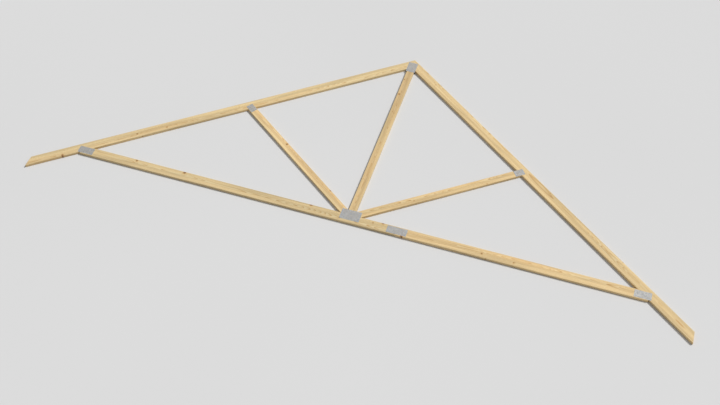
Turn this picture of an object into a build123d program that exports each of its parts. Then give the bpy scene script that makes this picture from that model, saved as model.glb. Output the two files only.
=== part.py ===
from build123d import *
from math import atan2, cos, degrees, floor, radians, sin, tan
import os

# A nail-plated trussed rafter with a king post and two struts, lying flat on one face.
# Setting out in millimetres and degrees: X along the span from its middle, Y up the rise
# from the underside of the bottom chord, Z up through the thickness from the lower plates.
SPAN = 7200  # from one nib of the bottom chord to the other
PITCH = 37.5  # slope of the rafters
OVERHANG = 550  # level run of a rafter's tail past the nib
NIB_HEIGHT = 20  # plumb end left on the bottom chord under its scarf cut
SPLICE_OFFSET = 600  # from midspan to the butt joint in the bottom chord
STRUT_HEAD_SHARE = 0.5  # of the half span, from midspan to a strut's head

# Planed softwood, all of one thickness
TIMBER_THICKNESS = 35
RAFTER_DEPTH = 122
CHORD_DEPTH = 122
POST_DEPTH = 97
STRUT_DEPTH = 97
ARRIS_RADIUS = 3  # easing of the four long edges

# Nail plates of punched steel, the same on both faces of a joint
PLATE_THICKNESS = 1.2
APEX_PLATE_LENGTH = 175  # up the king post
APEX_PLATE_WIDTH = 125
APEX_PLATE_MARGIN = 15  # from the rafters' top edges to the plate's upper corners
HEEL_PLATE_LENGTH = 200  # along the bottom chord
HEEL_PLATE_WIDTH = 100
STRUT_PLATE_LENGTH = 125  # along the strut
STRUT_PLATE_WIDTH = 90
FOOT_PLATE_LENGTH = 250  # along the bottom chord
FOOT_PLATE_WIDTH = 150
FOOT_PLATE_BITE_SHARE = 0.55  # of the width, on the bottom chord
SPLICE_PLATE_LENGTH = 250  # along the bottom chord
SPLICE_PLATE_WIDTH = 100

# Slots that the plates' teeth are punched out of, in staggered rows along each plate
SLOT_LENGTH = 20
SLOT_WIDTH = 4
SLOT_PITCH = 30  # along a row
ROW_PITCH = 12.5  # from row to row
STAGGER_SHARE = 0.5  # of the slot pitch, between neighbouring rows
PLATE_RIM = 5  # least steel between the slots and a plate's edge

# Worked out from the sizes above
half_span = SPAN / 2
slope = tan(radians(PITCH))
rafter_plumb_depth = RAFTER_DEPTH / cos(radians(PITCH))
timber_middle = PLATE_THICKNESS + TIMBER_THICKNESS / 2
upper_face = PLATE_THICKNESS + TIMBER_THICKNESS
eave_x = half_span + OVERHANG


def underside(x):
    """Height of the rafters' undersides at a place along the span."""
    return NIB_HEIGHT + (half_span - abs(x)) * slope


ridge_height = underside(0) + rafter_plumb_depth
middle_of_height = (underside(eave_x) + ridge_height) / 2


def rafter_normal(side):
    """Direction square to a rafter's top edge, side 1 on the right and -1 on the left."""
    return (side * sin(radians(PITCH)), cos(radians(PITCH)))


def timber(start, end, depth):
    """A length with eased arrises along the axis from start to end, left over long for its end cuts."""
    axis = Vector(*end) - Vector(*start)
    overrun = axis.normalized() * depth
    section = Plane(Vector(*start, timber_middle) - overrun, x_dir=(0, 0, 1), z_dir=axis)
    outline = section * RectangleRounded(TIMBER_THICKNESS, depth, ARRIS_RADIUS)
    return extrude(outline, axis.length + 2 * depth)


def saw(piece, point, outward):
    """Cuts a timber square to its face through a point, and drops what lies outward of the cut."""
    return split(piece, bisect_by=Plane(Vector(*point), z_dir=Vector(*outward)), keep=Keep.BOTTOM)


def rafter(side):
    """Rafter with a plumb cut at the ridge and another at the end of its tail."""
    axis_lift = rafter_plumb_depth / 2
    tail = (side * eave_x, underside(eave_x) + axis_lift)
    ridge = (0, underside(0) + axis_lift)
    piece = timber(tail, ridge, RAFTER_DEPTH)
    piece = saw(piece, tail, (side, 0))
    return saw(piece, ridge, (-side, 0))


def bottom_chord():
    """The whole tie, scarfed at both ends to lie along the rafters' undersides above a plumb nib."""
    axis_height = CHORD_DEPTH / 2
    piece = timber((-half_span, axis_height), (half_span, axis_height), CHORD_DEPTH)
    for side in (-1, 1):
        nib = (side * half_span, NIB_HEIGHT)
        piece = saw(piece, nib, (side, 0))
        piece = saw(piece, nib, rafter_normal(side))
    return piece


def king_post():
    """Post square cut on the bottom chord and double bevelled under the two rafters."""
    foot = (0, CHORD_DEPTH)
    peak = (0, underside(0))
    piece = timber(foot, peak, POST_DEPTH)
    piece = saw(piece, foot, (0, -1))
    for side in (-1, 1):
        piece = saw(piece, peak, rafter_normal(side))
    return piece


def strut(side):
    """Strut whose foot is double cut into the corner of post and chord, its head bevelled to the rafter."""
    piece = timber(strut_foot(side), strut_head(side), STRUT_DEPTH)
    piece = saw(piece, strut_foot(side), (-side, 0))
    piece = saw(piece, strut_foot(side), (0, -1))
    return saw(piece, strut_head(side), rafter_normal(side))


def strut_foot(side):
    """The corner of post and chord, which a strut's axis starts from."""
    return (side * POST_DEPTH / 2, CHORD_DEPTH)


def strut_head(side):
    """Where a strut's axis meets the rafter's underside."""
    x = side * half_span * STRUT_HEAD_SHARE
    return (x, underside(x))


def punched_plate(length, width):
    """A flat plate with as many staggered rows of slots as its rim leaves room for."""
    stagger = SLOT_PITCH * STAGGER_SHARE
    columns = 1 + floor((length - 2 * PLATE_RIM - SLOT_LENGTH - stagger) / SLOT_PITCH)
    rows = 1 + floor((width - 2 * PLATE_RIM - SLOT_WIDTH) / ROW_PITCH)
    slots = []
    for row, place in enumerate(GridLocations(0, ROW_PITCH, 1, rows)):
        shift = stagger / 2 if row % 2 else -stagger / 2
        for column in GridLocations(SLOT_PITCH, 0, columns, 1):
            slots.append(place * Pos(shift, 0) * column * Rectangle(SLOT_LENGTH, SLOT_WIDTH))
    return extrude(Rectangle(length, width) - slots, PLATE_THICKNESS)


def nail_plates(name, length, width, centre, turn=0):
    """The two plates of a joint, pressed flat on the lower and the upper face of the timber."""
    plate = Pos(*centre) * Rot(0, 0, turn) * punched_plate(length, width)
    return {f"{name}_lower": plate, f"{name}_upper": Pos(0, 0, upper_face) * plate}


def joint_plates():
    """The plates of all seven joints, by name."""
    apex_top = ridge_height - APEX_PLATE_WIDTH / 2 * slope - APEX_PLATE_MARGIN
    apex = (0, apex_top - APEX_PLATE_LENGTH / 2)
    upright = 90
    foot = (0, CHORD_DEPTH + FOOT_PLATE_WIDTH * (1 / 2 - FOOT_PLATE_BITE_SHARE))
    splice = (SPLICE_OFFSET, CHORD_DEPTH / 2)
    plates = nail_plates("apex_plate", APEX_PLATE_LENGTH, APEX_PLATE_WIDTH, apex, upright)
    plates |= nail_plates("foot_plate", FOOT_PLATE_LENGTH, FOOT_PLATE_WIDTH, foot)
    plates |= nail_plates("splice_plate", SPLICE_PLATE_LENGTH, SPLICE_PLATE_WIDTH, splice)
    scarf_run = (CHORD_DEPTH - NIB_HEIGHT) / slope
    for hand, side in (("left", -1), ("right", 1)):
        heel = (side * (half_span - scarf_run / 2), CHORD_DEPTH / 2)
        plates |= nail_plates(f"heel_plate_{hand}", HEEL_PLATE_LENGTH, HEEL_PLATE_WIDTH, heel)
        head = strut_head(side)
        axis = Vector(*head) - Vector(*strut_foot(side))
        lean = degrees(atan2(axis.Y, axis.X))
        plates |= nail_plates(f"strut_plate_{hand}", STRUT_PLATE_LENGTH, STRUT_PLATE_WIDTH, head, lean)
    return plates


def truss():
    """Every piece of the truss by name, in the setting-out frame."""
    chord = bottom_chord()
    splice = (SPLICE_OFFSET, 0)
    pieces = {
        "rafter_left": rafter(-1),
        "rafter_right": rafter(1),
        "bottom_chord_long": saw(chord, splice, (1, 0)),
        "bottom_chord_short": saw(chord, splice, (-1, 0)),
        "king_post": king_post(),
        "strut_left": strut(-1),
        "strut_right": strut(1),
    }
    return pieces | joint_plates()


# The stored origin is under the middle of the truss's box
os.makedirs("parts", exist_ok=True)
for name, piece in truss().items():
    export_step(Pos(0, -middle_of_height, 0) * piece, f"parts/{name}.step")
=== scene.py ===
import math
import random

import bmesh
import bpy
from mathutils import Matrix, Vector


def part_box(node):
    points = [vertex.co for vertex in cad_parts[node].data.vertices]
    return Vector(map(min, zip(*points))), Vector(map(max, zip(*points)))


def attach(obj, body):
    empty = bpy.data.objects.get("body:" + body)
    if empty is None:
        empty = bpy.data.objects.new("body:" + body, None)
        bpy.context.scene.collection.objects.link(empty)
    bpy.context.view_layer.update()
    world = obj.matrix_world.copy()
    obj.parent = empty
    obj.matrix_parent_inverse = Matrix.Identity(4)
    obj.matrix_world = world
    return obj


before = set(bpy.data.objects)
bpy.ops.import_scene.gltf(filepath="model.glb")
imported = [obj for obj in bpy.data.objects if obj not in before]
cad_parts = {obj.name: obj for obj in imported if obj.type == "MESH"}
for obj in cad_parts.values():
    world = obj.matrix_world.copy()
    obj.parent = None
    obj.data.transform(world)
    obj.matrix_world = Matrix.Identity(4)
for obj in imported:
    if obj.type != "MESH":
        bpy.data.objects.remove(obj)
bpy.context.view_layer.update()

# Sizes in metres and turns in radians, as in the solids
PITCH = math.radians(37.5)
# A strut leans from the corner of post and chord to the middle of its head's plates
POST_LOW, POST_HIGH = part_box("king_post")
STRUT_HEAD = sum(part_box("strut_plate_right_upper"), Vector()) / 2
STRUT_LEAN = math.atan2(STRUT_HEAD.y - POST_LOW.y, STRUT_HEAD.x - POST_HIGH.x)
# Which way the fibres of each timber run
TIMBERS = {
    "rafter_left": PITCH,
    "rafter_right": math.pi - PITCH,
    "bottom_chord_long": math.pi,
    "bottom_chord_short": 0.0,
    "king_post": -math.pi / 2,
    "strut_left": math.pi - STRUT_LEAN,
    "strut_right": STRUT_LEAN,
}
# Length, width and turn of the nail plates at each joint
PLATES = {
    "apex_plate": (0.175, 0.125, math.pi / 2),
    "foot_plate": (0.250, 0.150, 0.0),
    "splice_plate": (0.250, 0.100, 0.0),
    "heel_plate_left": (0.200, 0.100, 0.0),
    "heel_plate_right": (0.200, 0.100, 0.0),
    "strut_plate_left": (0.125, 0.090, math.pi - STRUT_LEAN),
    "strut_plate_right": (0.125, 0.090, STRUT_LEAN),
}
PLATE_THICKNESS = 0.0012
PLATE_RIM = 0.005
SLOT_LENGTH = 0.020
SLOT_WIDTH = 0.004
SLOT_PITCH = 0.030
ROW_PITCH = 0.0125
STAGGER = SLOT_PITCH / 2

# Teeth of the nail plates
TOOTH_WIDTH = 0.0036
TOOTH_DEPTH = 0.0105
TOOTH_BEND_RADIUS = 0.0024  # outside of the bend at the root
TOOTH_BEND_STEPS = 4
TOOTH_SHOULDER_SHARE = 0.55  # of the depth, where the taper starts
TOOTH_POINT_SHARE = 0.2  # of the width, left at the point

# Kinds of noise
RAGGED = {"detail": 3.0, "roughness": 0.6}
SMOOTH = {"detail": 0.0}

# Places of the colour sockets on a mix node
MIX_FACTOR = 0
MIX_FIRST = 6
MIX_SECOND = 7
MIX_RESULT = 2

# Each fade below is where it starts and ends, then its values there if these are not 0 and 1

# Planed spruce, a little different in each timber
DRAW_SEED = 7
PATTERN_SEEDS = (0, 50)
EARLYWOOD = (0.88, 0.695, 0.395)
MIDWOOD = (0.80, 0.585, 0.29)
LATEWOOD = (0.60, 0.36, 0.145)
TIMBER_TONES = (0.86, 1.06)
TIMBER_WARMTHS = (0.94, 1.06)
HEARTWOOD_TINT = (0.90, 0.74, 0.62, 1.0)
END_GRAIN_TINT = (0.74, 0.66, 0.58, 1.0)
RESIN_TINT = (0.86, 0.68, 0.48, 1.0)
LIVE_KNOT = (0.40, 0.20, 0.08, 1.0)
DEAD_KNOT = (0.21, 0.095, 0.04, 1.0)
LIVE_KNOT_RIM = (0.26, 0.12, 0.05, 1.0)
DEAD_KNOT_RIM = (0.11, 0.05, 0.025, 1.0)

# Growth rings round the pith, which wanders slowly under one face of the timber
PITH_SIDEWAYS = 0.03
PITH_DEPTHS = (0.03, 0.06)
PITH_WAVES = 0.8
PITH_SWING = 0.05
PITH_LEAN_ACROSS = 0.012  # to the metre of length
PITH_LEAN_THROUGH = 0.010
UNEVEN_WAVES = (2.0, 22.0, 22.0)
UNEVEN_SWING = 0.007
RING_WIDTHS = (0.0032, 0.0046)
SEASON_WAVES = 70.0
SEASON_SWING = 2.6  # in ring widths
FAINT_YEARS_SHARE = 0.55  # of the middle tone, in the faintest rings
RING_SHARES = (0.0, 0.4, 0.72, 0.9, 0.97, 1.0)  # where the colours of a year's ring change
HEARTWOOD_FADE = (0.075, 0.03, 0.0, 0.45)

# Knots, whose reaches are in knot radii from the middle
KNOTS_PER_METRE = 4.2  # cells of the pattern, some empty and many beyond the timber's edges
KNOT_SIZE_FADE = (0.2, 1.0, 0.004, 0.017)
LEAST_KNOT_RADIUS = 0.003
KNOTLESS_SHARE = 0.3
KNOT_WOBBLE_WAVES = (60.0, 60.0, 60.0)
KNOT_WOBBLE = 0.25
KNOT_FADE = (1.15, 0.95, 0.0, 0.88)
KNOT_RIM_FADE = (0.98, 0.7)
KNOT_RING = 0.14
KNOT_RING_SHADES = (0.82, 1.12)
HALO_FADE = (2.6, 0.9, 0.0, 0.7)
SWIRL_REACH = 4.0
SWIRL_FADE = (SWIRL_REACH, 0.8)

# Fibres: waves to the metre along, across and through the timber, and the shades that they give
STREAK_WAVES = (0.9, 34.0, 34.0)
STREAK_FADE = (0.32, 0.7, 0.80, 1.08)
FIBRE_WAVES = (7.0, 520.0, 520.0)
FIBRE_FADE = (0.25, 0.75, 0.90, 1.06)
CANAL_WAVES = (22.0, 800.0, 800.0)
CANAL_FADE = (0.68, 0.78, 1.0, 0.78)
END_GRAIN_FADE = (0.3, 0.6)
SAW_WAVES = (500.0, 40.0, 900.0)
SAW_RELIEF = 1.5
RING_RELIEF = 0.5
WOOD_RELIEF = 0.0006
WOOD_RELIEF_STRENGTH = 0.35
WOOD_GLOSS = 0.22
WOOD_ROUGHNESS_FADE = (0.2, 0.8, 0.52, 0.72)
END_GRAIN_ROUGHNESS = 0.2  # more than on the faces

# Hot-dip galvanised sheet
ZINC_STOPS = ((0.1, (0.27, 0.285, 0.30)), (0.5, (0.37, 0.385, 0.40)), (0.9, (0.49, 0.505, 0.52)))
ZINC_ROUGHNESS_FADE = (0.1, 0.9, 0.76, 0.60)
ZINC_RELIEF = 0.0004
ZINC_RELIEF_STRENGTH = 0.2
ZINC_METAL = 0.85
SPANGLES_PER_METRE = 120.0
SPANGLE_SHARE = 0.4
DRIFT_WAVES = (30.0, 30.0, 30.0)
DRIFT_SHARE = 0.25
GRIT_WAVES = (900.0, 900.0, 900.0)
GRIT_SHARE = 0.12
FEATHER_WAVES = (260.0, 260.0, 260.0)
FEATHER_SWING = (0.006, 0.006, 0.0)
FROND_WAVES = (160.0, 1900.0, 160.0)
FROND_SHARE = 0.3

# Studio
FLOOR_HALF = 60.0
FLOOR_DROP = 0.0004
FLOOR_WAVES = (0.15, 0.15, 0.15)
FLOOR_ROUGHNESS = 0.9
FLOOR_GLOSS = 0.1
FLOOR_TONES = ((0.0, (0.70, 0.70, 0.70)), (1.0, (0.745, 0.745, 0.745)))
GLOW = 0.34  # strength of the world's light
BACKDROP = 0.723  # and of the world as the camera and the gloss see it
LAMP_STRENGTH = 2.58
LAMP_SPREAD = math.radians(14)
LAMP_FROM = Vector((0.52, 0.36, 0.80))
VIEW_AZIMUTH = math.radians(18)
VIEW_ELEVATION = math.radians(52)
VIEW_TARGET = Vector((0.039, -0.904, 0.0))
VIEW_DISTANCE = 12.285
VIEW_LENS = 50


class Shader:
    """A material whose node tree is written as expressions on sockets and plain values."""

    def __init__(self, name):
        self.material = bpy.data.materials.new(name)
        self.material.use_nodes = True
        self.tree = self.material.node_tree
        self.surface = self.tree.nodes["Principled BSDF"].inputs

    def feed(self, socket, value):
        """Links a socket to another one, or sets its value."""
        if isinstance(value, bpy.types.NodeSocket):
            self.tree.links.new(value, socket)
        else:
            socket.default_value = value

    def add(self, kind, inputs, **options):
        """Adds a node with its options and inputs, and gives its outputs."""
        node = self.tree.nodes.new(kind)
        for option, value in options.items():
            setattr(node, option, value)
        for name, value in inputs.items():
            self.feed(node.inputs[name], value)
        return node.outputs

    def coordinates(self):
        """Each point's place and the way that its surface faces, in the axes of its own object."""
        return self.add("ShaderNodeTexCoord", {})

    def math(self, operation, *values):
        return self.add("ShaderNodeMath", dict(enumerate(values)), operation=operation)[0]

    def vector_math(self, operation, *values):
        return self.add("ShaderNodeVectorMath", dict(enumerate(values)), operation=operation)

    def vector(self, x=0.0, y=0.0, z=0.0):
        return self.add("ShaderNodeCombineXYZ", {"X": x, "Y": y, "Z": z})[0]

    def axes(self, vector):
        return self.add("ShaderNodeSeparateXYZ", {0: vector})

    def channels(self, colour):
        return self.add("ShaderNodeSeparateColor", {0: colour})

    def noise(self, place, waves, detail=2.0, roughness=0.5):
        """Noise of so many waves to the metre along each axis."""
        stretched = self.vector_math("MULTIPLY", place, waves)[0]
        inputs = {"Vector": stretched, "Scale": 1.0, "Detail": detail, "Roughness": roughness}
        return self.add("ShaderNodeTexNoise", inputs)["Fac"]

    def line_noise(self, value, waves, seed, detail=1.0):
        """Noise of so many waves to the metre along one line."""
        inputs = {"W": self.math("MULTIPLY_ADD", value, waves, seed), "Scale": 1.0, "Detail": detail}
        return self.add("ShaderNodeTexNoise", inputs, noise_dimensions="1D")

    def cells(self, place, per_metre, **options):
        """Cells round scattered points, about so many to the metre."""
        return self.add("ShaderNodeTexVoronoi", {"Vector": place, "Scale": per_metre}, **options)

    def fade(self, value, start, end, low=0.0, high=1.0):
        """Goes smoothly from low to high as the value goes from start to end."""
        inputs = {"Value": value, "From Min": start, "From Max": end, "To Min": low, "To Max": high}
        return self.add("ShaderNodeMapRange", inputs, interpolation_type="SMOOTHSTEP")[0]

    def blend(self, factor, first, second, mode="MIX"):
        """The first colour mixed with the second, or multiplied by it."""
        inputs = {MIX_FACTOR: factor, MIX_FIRST: first, MIX_SECOND: second}
        return self.add("ShaderNodeMix", inputs, data_type="RGBA", blend_type=mode)[MIX_RESULT]

    def darken(self, colour, shade):
        """The colour times one number in all its channels."""
        return self.blend(1.0, colour, self.vector(shade, shade, shade), "MULTIPLY")

    def ramp(self, value, stops):
        """Colour that changes from stop to stop as the value goes from 0 to 1."""
        node = self.tree.nodes.new("ShaderNodeValToRGB")
        self.feed(node.inputs["Fac"], value)
        elements = node.color_ramp.elements
        while len(elements) < len(stops):
            elements.new(1.0)
        for element, (place, colour) in zip(elements, stops):
            element.position = place
            element.color = (*colour, 1.0)
        return node.outputs["Color"]

    def bump(self, height, strength, distance):
        inputs = {"Height": height, "Strength": strength, "Distance": distance}
        return self.add("ShaderNodeBump", inputs)["Normal"]


def timber_place(shader, name, turn):
    """Coordinates along, across and through a timber, from its middle."""
    low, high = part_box(name)
    to_grain = Matrix.Rotation(-turn, 4, "Z")
    middle = to_grain @ ((low + high) / 2)
    return shader.add("ShaderNodeMapping", {
        "Vector": shader.coordinates()["Object"],
        "Location": -middle,
        "Rotation": to_grain.to_euler(),
    })[0]


def pith_distance(shader, place, seed, draw):
    """How far each point lies from the pith of the log."""
    along, across, through = shader.axes(place)
    swings = shader.channels(shader.line_noise(along, PITH_WAVES, seed)["Color"])
    pith_y = draw.uniform(-PITH_SIDEWAYS, PITH_SIDEWAYS)
    pith_z = draw.choice((-1, 1)) * draw.uniform(*PITH_DEPTHS)
    lean_y = draw.uniform(-PITH_LEAN_ACROSS, PITH_LEAN_ACROSS)
    lean_z = draw.uniform(-PITH_LEAN_THROUGH, PITH_LEAN_THROUGH)
    offsets = []
    ways = ((across, swings[0], pith_y, lean_y), (through, swings[1], pith_z, lean_z))
    for value, swing, pith, lean in ways:
        wander = shader.math("MULTIPLY_ADD", swing, PITH_SWING, pith - PITH_SWING / 2)
        wander = shader.math("MULTIPLY_ADD", along, lean, wander)
        offsets.append(shader.math("SUBTRACT", value, wander))
    distance = shader.vector_math("LENGTH", shader.vector(0.0, *offsets))["Value"]
    return shader.math("MULTIPLY_ADD", shader.noise(place, UNEVEN_WAVES), UNEVEN_SWING, distance)


def knots(shader, place, seed):
    """Knots through the timber: radius of the nearest, distance in radii, whether it grew, and its kind."""
    along, across, _ = shader.axes(place)
    spot = shader.vector(shader.math("ADD", along, seed), across)
    flat = {"voronoi_dimensions": "2D"}
    cells = shader.cells(spot, KNOTS_PER_METRE, **flat)
    size, chance, kind = shader.channels(cells["Color"])
    # A knot and its swirl reach no further than halfway to the next one
    room = shader.cells(cells["Position"], KNOTS_PER_METRE, feature="DISTANCE_TO_EDGE", **flat)["Distance"]
    room = shader.math("DIVIDE", room, KNOTS_PER_METRE * SWIRL_REACH)
    radius = shader.math("MINIMUM", shader.fade(size, *KNOT_SIZE_FADE), room)
    distance = shader.math("DIVIDE", cells["Distance"], KNOTS_PER_METRE)
    wobble = shader.noise(place, KNOT_WOBBLE_WAVES, **SMOOTH)
    reach = shader.math("MULTIPLY_ADD", wobble, KNOT_WOBBLE, shader.math("DIVIDE", distance, radius))
    grown = shader.math("GREATER_THAN", radius, LEAST_KNOT_RADIUS)
    here = shader.math("MULTIPLY", grown, shader.math("GREATER_THAN", chance, KNOTLESS_SHARE))
    return radius, reach, here, kind


def knot_colour(shader, reach, kind):
    """Rings from a warm heart to a dark rim, darkest in dead knots."""
    rings = shader.fade(shader.math("PINGPONG", reach, KNOT_RING), 0.0, KNOT_RING, *KNOT_RING_SHADES)
    heart = shader.darken(shader.blend(kind, LIVE_KNOT, DEAD_KNOT), rings)
    rim = shader.blend(kind, LIVE_KNOT_RIM, DEAD_KNOT_RIM)
    return shader.blend(shader.fade(reach, *KNOT_RIM_FADE), rim, heart)


def growth_rings(shader, radius, seed, draw):
    """Place within each year's ring, from early wood at 0 to late wood near 1, and the rings' colours."""
    ring_width = draw.uniform(*RING_WIDTHS)
    seasons = shader.line_noise(radius, SEASON_WAVES, seed)["Fac"]
    age = shader.math("MULTIPLY_ADD", seasons, SEASON_SWING, shader.math("DIVIDE", radius, ring_width))
    rings = shader.math("FRACT", age)
    year = {"W": shader.math("FLOOR", age)}
    faintness = shader.add("ShaderNodeTexWhiteNoise", year, noise_dimensions="1D")["Value"]
    tone = draw.uniform(*TIMBER_TONES)
    warmth = draw.uniform(*TIMBER_WARMTHS)
    tints = (tone, tone * (1 + 1 / warmth) / 2, tone / warmth)
    early, middle, late = (tuple(channel * tint for channel, tint in zip(colour, tints))
                           for colour in (EARLYWOOD, MIDWOOD, LATEWOOD))
    stops = tuple(zip(RING_SHARES, (early, early, middle, late, late, early)))
    faint = shader.math("MULTIPLY", faintness, FAINT_YEARS_SHARE)
    return rings, shader.blend(faint, shader.ramp(rings, stops), (*middle, 1.0))


def softwood(name, turn, draw):
    """Spruce sawn out of one log: rings, fibres and knots run through the timber from face to face."""
    shader = Shader(f"softwood_{name}")
    place = timber_place(shader, name, turn)
    seed = draw.uniform(*PATTERN_SEEDS)

    # The rings bend round the knots, by a knot's radius at most
    pith = pith_distance(shader, place, seed, draw)
    knot_radius, reach, knot_here, knot_kind = knots(shader, place, seed)
    swirl = shader.math("MULTIPLY", shader.fade(reach, *SWIRL_FADE), knot_here)
    pith = shader.math("MULTIPLY_ADD", swirl, knot_radius, pith)
    rings, wood = growth_rings(shader, pith, seed, draw)

    # Broad streaks along the fibres, then fine fibres and short resin canals
    shade = shader.fade(shader.noise(place, STREAK_WAVES, **RAGGED), *STREAK_FADE)
    fibres = shader.noise(place, FIBRE_WAVES, **RAGGED)
    shade = shader.math("MULTIPLY", shade, shader.fade(fibres, *FIBRE_FADE))
    canals = shader.noise(place, CANAL_WAVES, **SMOOTH)
    shade = shader.math("MULTIPLY", shade, shader.fade(canals, *CANAL_FADE))
    wood = shader.darken(wood, shade)
    wood = shader.blend(shader.fade(pith, *HEARTWOOD_FADE), wood, HEARTWOOD_TINT, "MULTIPLY")

    # Knots in a halo of resin
    halo = shader.math("MULTIPLY", shader.fade(reach, *HALO_FADE), knot_here)
    wood = shader.blend(halo, wood, RESIN_TINT, "MULTIPLY")
    knot = shader.math("MULTIPLY", shader.fade(reach, *KNOT_FADE), knot_here)
    wood = shader.blend(knot, wood, knot_colour(shader, reach, knot_kind))

    # Sawn ends across the fibres are darker and rougher
    along_fibres = (math.cos(turn), math.sin(turn), 0.0)
    facing = shader.vector_math("DOT_PRODUCT", shader.coordinates()["Normal"], along_fibres)["Value"]
    end_grain = shader.fade(shader.math("ABSOLUTE", facing), *END_GRAIN_FADE)
    wood = shader.blend(end_grain, wood, shader.blend(1.0, wood, END_GRAIN_TINT, "MULTIPLY"))
    saw_marks = shader.math("MULTIPLY", end_grain, shader.noise(place, SAW_WAVES))

    relief = shader.math("MULTIPLY_ADD", rings, RING_RELIEF, fibres)
    relief = shader.math("MULTIPLY_ADD", saw_marks, SAW_RELIEF, relief)
    roughness = shader.fade(fibres, *WOOD_ROUGHNESS_FADE)
    roughness = shader.math("MULTIPLY_ADD", end_grain, END_GRAIN_ROUGHNESS, roughness)
    shader.feed(shader.surface["Base Color"], wood)
    shader.feed(shader.surface["Roughness"], roughness)
    shader.feed(shader.surface["Normal"], shader.bump(relief, WOOD_RELIEF_STRENGTH, WOOD_RELIEF))
    shader.surface["Specular IOR Level"].default_value = WOOD_GLOSS
    return shader.material


def galvanised():
    """Dull zinc with a spangle of feathered crystals, each with fronds that run its own way."""
    shader = Shader("galvanised_sheet")
    place = shader.coordinates()["Object"]
    drift = shader.noise(place, DRIFT_WAVES, **RAGGED)
    grit = shader.noise(place, GRIT_WAVES)
    feather = shader.noise(place, FEATHER_WAVES)
    feathered = shader.vector_math("MULTIPLY_ADD", shader.vector(feather, feather), FEATHER_SWING, place)[0]
    tone, turn, _ = shader.channels(shader.cells(feathered, SPANGLES_PER_METRE)["Color"])
    spin = {"Vector": place, "Angle": shader.math("MULTIPLY", turn, math.pi)}
    turned = shader.add("ShaderNodeVectorRotate", spin, rotation_type="Z_AXIS")["Vector"]
    fronds = shader.noise(turned, FROND_WAVES)
    spangle = shader.math("MULTIPLY", drift, DRIFT_SHARE)
    spangle = shader.math("MULTIPLY_ADD", tone, SPANGLE_SHARE, spangle)
    spangle = shader.math("MULTIPLY_ADD", fronds, FROND_SHARE, spangle)
    spangle = shader.math("MULTIPLY_ADD", grit, GRIT_SHARE, spangle)
    relief = shader.math("MULTIPLY_ADD", grit, GRIT_SHARE, drift)
    shader.feed(shader.surface["Base Color"], shader.ramp(spangle, ZINC_STOPS))
    shader.feed(shader.surface["Roughness"], shader.fade(spangle, *ZINC_ROUGHNESS_FADE))
    shader.feed(shader.surface["Normal"], shader.bump(relief, ZINC_RELIEF_STRENGTH, ZINC_RELIEF))
    shader.surface["Metallic"].default_value = ZINC_METAL
    return shader.material


def add_object(name, mesh, material):
    """An object made of a finished mesh and one material."""
    data = bpy.data.meshes.new(name)
    mesh.to_mesh(data)
    mesh.free()
    data.materials.append(material)
    added = bpy.data.objects.new(name, data)
    bpy.context.scene.collection.objects.link(added)
    return added


def slot_places(length, width):
    """Centres of a plate's slots, in staggered rows along its length."""
    columns = 1 + math.floor((length - 2 * PLATE_RIM - SLOT_LENGTH - STAGGER) / SLOT_PITCH)
    rows = 1 + math.floor((width - 2 * PLATE_RIM - SLOT_WIDTH) / ROW_PITCH)
    for row in range(rows):
        shift = STAGGER / 2 if row % 2 else -STAGGER / 2
        for column in range(columns):
            along = shift + (column - (columns - 1) / 2) * SLOT_PITCH
            yield Vector((along, (row - (rows - 1) / 2) * ROW_PITCH, 0))


def tooth_sections():
    """Cuts across a tooth from root to point: reach and depth of its outer and inner side, half its width."""
    inner_radius = TOOTH_BEND_RADIUS - PLATE_THICKNESS
    sections = []
    for step in range(TOOTH_BEND_STEPS + 1):
        turn = math.pi / 2 * step / TOOTH_BEND_STEPS
        sides = [(radius * math.sin(turn), TOOTH_BEND_RADIUS - radius * math.cos(turn))
                 for radius in (TOOTH_BEND_RADIUS, inner_radius)]
        sections.append((*sides, TOOTH_WIDTH / 2))
    for depth_share, width_share in ((TOOTH_SHOULDER_SHARE, 1), (1, TOOTH_POINT_SHARE)):
        depth = TOOTH_DEPTH * depth_share
        sections.append(((TOOTH_BEND_RADIUS, depth), (inner_radius, depth), TOOTH_WIDTH / 2 * width_share))
    return sections


def add_tooth(mesh, root, inward, sideways, into):
    """One tooth, bent from the end of its slot into the wood and drawn to a point."""
    loops = []
    for outer, inner, half_width in tooth_sections():
        corners = ((outer, -1), (outer, 1), (inner, 1), (inner, -1))
        loops.append([mesh.verts.new(root + inward * reach + into * depth + sideways * side * half_width)
                      for (reach, depth), side in corners])
    for first, second in zip(loops, loops[1:]):
        for corner in range(len(first)):
            following = (corner + 1) % len(first)
            mesh.faces.new((first[corner], first[following], second[following], second[corner]))
    mesh.faces.new(loops[0][::-1])
    mesh.faces.new(loops[-1])


def plate_teeth(joint, face, finish):
    """The teeth of one nail plate: two in each slot, one at either end."""
    length, width, turn = PLATES[joint]
    low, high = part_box(f"{joint}_{face}")
    lower = face == "lower"
    into = Vector((0, 0, 1 if lower else -1))
    centre = (low + high) / 2
    centre.z = low.z if lower else high.z
    turned = Matrix.Rotation(turn, 3, "Z")
    mesh = bmesh.new()
    for slot in slot_places(length, width):
        for end in (-1, 1):
            outward = Vector((end, 0, 0))
            root = centre + turned @ (slot + outward * SLOT_LENGTH / 2)
            add_tooth(mesh, root, turned @ -outward, turned @ Vector((0, 1, 0)), into)
    bmesh.ops.recalc_face_normals(mesh, faces=mesh.faces)
    teeth = add_object(f"{joint}_{face}_teeth", mesh, finish)
    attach(teeth, "root")


def dress(name, material):
    """Gives a piece of the frame its material."""
    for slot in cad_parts[name].material_slots:
        slot.material = material


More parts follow.
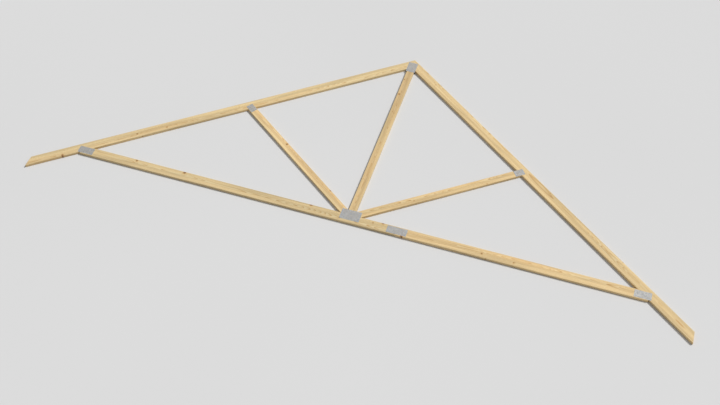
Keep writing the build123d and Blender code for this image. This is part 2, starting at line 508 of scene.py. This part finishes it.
def pale_floor():
    """A plain floor, faintly clouded, just under the lower plates."""
    shader = Shader("pale_floor")
    cloud = shader.noise(shader.coordinates()["Object"], FLOOR_WAVES)
    shader.feed(shader.surface["Base Color"], shader.ramp(cloud, FLOOR_TONES))
    shader.surface["Roughness"].default_value = FLOOR_ROUGHNESS
    shader.surface["Specular IOR Level"].default_value = FLOOR_GLOSS
    mesh = bmesh.new()
    bmesh.ops.create_grid(mesh, x_segments=1, y_segments=1, size=FLOOR_HALF)
    floor = add_object("floor", mesh, shader.material)
    floor.location.z = -FLOOR_DROP


def studio_light():
    """A broad lamp from behind on the right, and an even glow that looks as pale as the floor."""
    world = bpy.data.worlds.new("studio")
    bpy.context.scene.world = world
    world.use_nodes = True
    nodes, links = world.node_tree.nodes, world.node_tree.links
    rays = nodes.new("ShaderNodeLightPath")
    seen = nodes.new("ShaderNodeMath")
    seen.operation = "MAXIMUM"
    links.new(rays.outputs["Is Camera Ray"], seen.inputs[0])
    links.new(rays.outputs["Is Glossy Ray"], seen.inputs[1])
    level = nodes.new("ShaderNodeMapRange")
    links.new(seen.outputs[0], level.inputs["Value"])
    level.inputs["To Min"].default_value = GLOW
    level.inputs["To Max"].default_value = BACKDROP
    background = nodes["Background"].inputs
    background["Color"].default_value = (1.0, 1.0, 1.0, 1.0)
    links.new(level.outputs[0], background["Strength"])
    lamp = bpy.data.lights.new("broad_lamp", "SUN")
    lamp.energy = LAMP_STRENGTH
    lamp.angle = LAMP_SPREAD
    stand = bpy.data.objects.new("broad_lamp", lamp)
    stand.rotation_euler = LAMP_FROM.to_track_quat("Z", "Y").to_euler()
    bpy.context.scene.collection.objects.link(stand)


def look_down():
    """Camera that looks down on the truss over its bottom chord, from right of the middle."""
    level_reach = math.cos(VIEW_ELEVATION)
    back = Vector((math.sin(VIEW_AZIMUTH) * level_reach, -math.cos(VIEW_AZIMUTH) * level_reach,
                   math.sin(VIEW_ELEVATION)))
    camera = bpy.data.objects.new("camera", bpy.data.cameras.new("camera"))
    camera.data.lens = VIEW_LENS
    camera.data.clip_end = 4 * FLOOR_HALF
    camera.location = VIEW_TARGET + back * VIEW_DISTANCE
    camera.rotation_euler = back.to_track_quat("Z", "Y").to_euler()
    bpy.context.scene.collection.objects.link(camera)
    bpy.context.scene.camera = camera


draw = random.Random(DRAW_SEED)
for name, turn in TIMBERS.items():
    dress(name, softwood(name, turn, draw))
zinc = galvanised()
for joint in PLATES:
    for face in ("lower", "upper"):
        dress(f"{joint}_{face}", zinc)
        plate_teeth(joint, face, zinc)
pale_floor()
studio_light()
look_down()
bpy.context.scene.view_settings.view_transform = "Standard"
